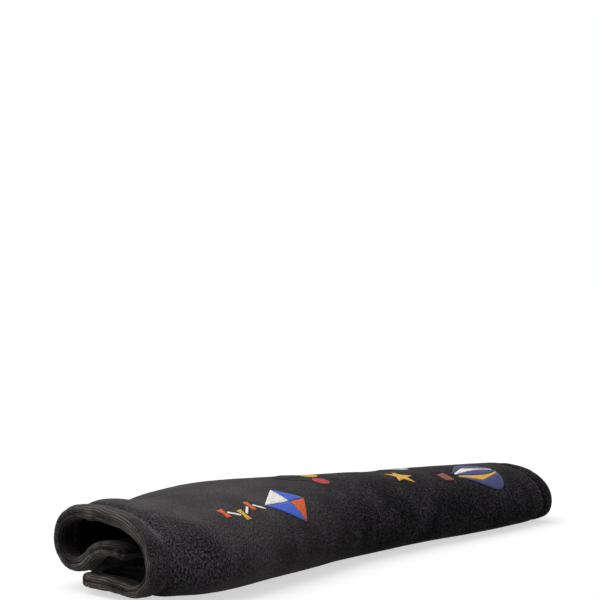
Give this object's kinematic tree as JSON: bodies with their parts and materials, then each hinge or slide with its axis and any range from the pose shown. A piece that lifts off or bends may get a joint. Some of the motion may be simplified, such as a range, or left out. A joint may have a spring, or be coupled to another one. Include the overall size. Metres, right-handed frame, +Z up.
{
  "type": "seat belt shoulder pad",
  "caption": "Soft padded sleeve that wraps round seat belt webbing at the shoulder, closed along its length by hook and loop tape, in dark plush with printed shapes.",
  "frame": {"origin": "under the middle of the pad's box, on the ground it lies on", "axes": "+X along the pad and the belt, from the end that lies open to the shut end; +Z up; -Y towards the near fold"},
  "size_m": [0.27, 0.0796, 0.0372],
  "materials": {
    "plush_cover": "charcoal knitted plush, short pile",
    "plush_lining": "dark grey brushed lining",
    "foam": "open-cell polyurethane foam sheet",
    "fastener": "black hook and loop tape",
    "thread": "dark grey polyester sewing thread",
    "film_navy": "navy heat-transfer film",
    "film_mustard": "mustard heat-transfer film",
    "film_white": "off-white heat-transfer film",
    "film_brown": "brown heat-transfer film",
    "film_black": "black heat-transfer film",
    "film_mint": "mint heat-transfer film",
    "film_red": "red heat-transfer film",
    "film_blue": "blue heat-transfer film",
    "film_orange": "orange heat-transfer film"
  },
  "bodies": {
    "root": {"outer_cover": "plush_cover", "inner_lining": "plush_lining", "foam_core": "foam", "loop_strip": "fastener", "hook_strip": "fastener", "near_end_seam_thread": "thread", "far_end_seam_thread": "thread", "balloon_gore_1": "film_navy", "balloon_gore_2": "film_mustard", "balloon_gore_3": "film_navy", "balloon_gore_4": "film_white", "balloon_gore_5": "film_navy", "balloon_basket": "film_brown", "balloon_rope_left": "film_black", "balloon_rope_right": "film_black", "star": "film_mustard", "cloud": "film_mint", "toy_balloon_red": "film_red", "toy_string_red": "film_black", "toy_balloon_mustard": "film_mustard", "toy_string_mustard": "film_black", "toy_balloon_mint": "film_mint", "toy_string_mint": "film_black", "kite_sail_1": "film_blue", "kite_sail_2": "film_orange", "kite_sail_3": "film_white", "kite_sail_4": "film_blue", "kite_tail_1": "film_white", "kite_bow_1": "film_orange", "kite_tail_2": "film_white", "kite_bow_2": "film_mustard", "kite_tail_3": "film_white", "kite_bow_3": "film_orange"}
  },
  "joints": []
}
